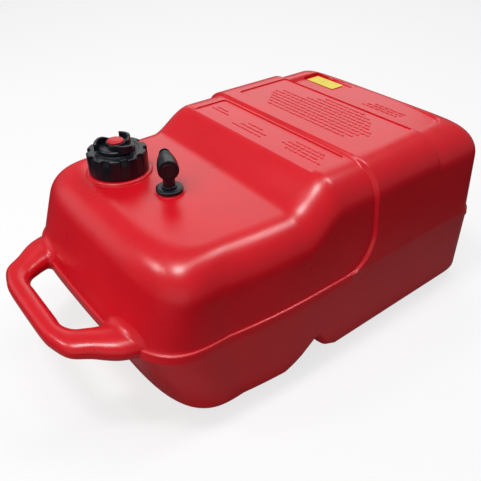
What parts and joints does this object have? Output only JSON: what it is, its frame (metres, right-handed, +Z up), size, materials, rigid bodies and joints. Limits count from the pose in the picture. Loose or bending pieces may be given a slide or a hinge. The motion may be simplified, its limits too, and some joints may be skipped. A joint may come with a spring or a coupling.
{
  "type": "portable fuel tank",
  "caption": "Red blow-moulded boat fuel tank with a front carrying handle, a vented screw cap and a swivelling black fuel pick-up with a hose nipple.",
  "frame": {"origin": "middle of the bounding box at the underside of the tank", "axes": "+X from the handle to the tall rear block, +Y across to the side of the filler cap, +Z up"},
  "size_m": [0.5662, 0.3368, 0.2351],
  "materials": {
    "red_polyethylene": "satin red blow-moulded high-density polyethylene",
    "yellow_label": "bare yellow film label",
    "black_moulding": "satin black injection-moulded nylon",
    "black_rubber": "matte black nitrile rubber",
    "red_badge": "red moulded insert",
    "spring_steel": "plain stainless steel",
    "pale_tube": "natural polyethylene tube"
  },
  "bodies": {
    "tank": {"tank_shell": "red_polyethylene", "info_plate": "yellow_label", "pickup_bush": "black_moulding", "pickup_gasket": "black_rubber", "barb_adapter": "black_moulding", "dip_tube": "pale_tube", "dip_tube_clamp": "spring_steel", "strainer": "pale_tube"},
    "cap_ring": {"filler_gasket": "black_rubber"},
    "cap": {"filler_cap": "black_moulding"},
    "vent_ring": {"vent_seal": "black_rubber"},
    "vent": {"vent_knob": "black_moulding", "vent_badge": "red_badge", "vent_spindle": "black_moulding", "vent_retainer": "spring_steel"},
    "elbow": {"swivel_elbow": "black_moulding", "swivel_o_ring": "black_rubber", "swivel_retainer": "spring_steel", "barrel_end_cap": "black_moulding", "check_spring": "spring_steel", "hose_nipple": "black_moulding", "nipple_seal": "black_rubber"},
    "valve": {"check_poppet": "black_moulding"}
  },
  "joints": [
    {"name": "cap_lift", "type": "slide", "parent": "tank", "child": "cap_ring", "axis": [0, 0, 1], "range_m": [0, 0.0075]},
    {"name": "cap_turn", "type": "hinge", "parent": "cap_ring", "child": "cap", "pos_m": [-0.1236, 0.0685, 0.21], "axis": [0, 0, 1], "range_deg": [0, 450]},
    {"name": "vent_lift", "type": "slide", "parent": "cap", "child": "vent_ring", "axis": [0, 0, 1], "range_m": [0, 0.0015]},
    {"name": "vent_turn", "type": "hinge", "parent": "vent_ring", "child": "vent", "pos_m": [-0.1236, 0.0685, 0.225], "axis": [0, 0, 1], "range_deg": [0, 180]},
    {"name": "elbow_swivel", "type": "hinge", "parent": "tank", "child": "elbow", "pos_m": [-0.1034, -0.0086, 0.2225], "axis": [0, 0, 1], "continuous": true},
    {"name": "valve_slide", "type": "slide", "parent": "elbow", "child": "valve", "axis": [-0.4384, -0.8988, 0], "range_m": [0, 0.003], "stiffness_N_per_m": 60, "springref_m": -0.004, "deforming": ["check_spring"]}
  ],
  "couplings": [
    {"joint": "cap_turn", "follows": "cap_lift", "rad_per_m": 1047.2},
    {"joint": "vent_turn", "follows": "vent_lift", "rad_per_m": 2094.4}
  ]
}
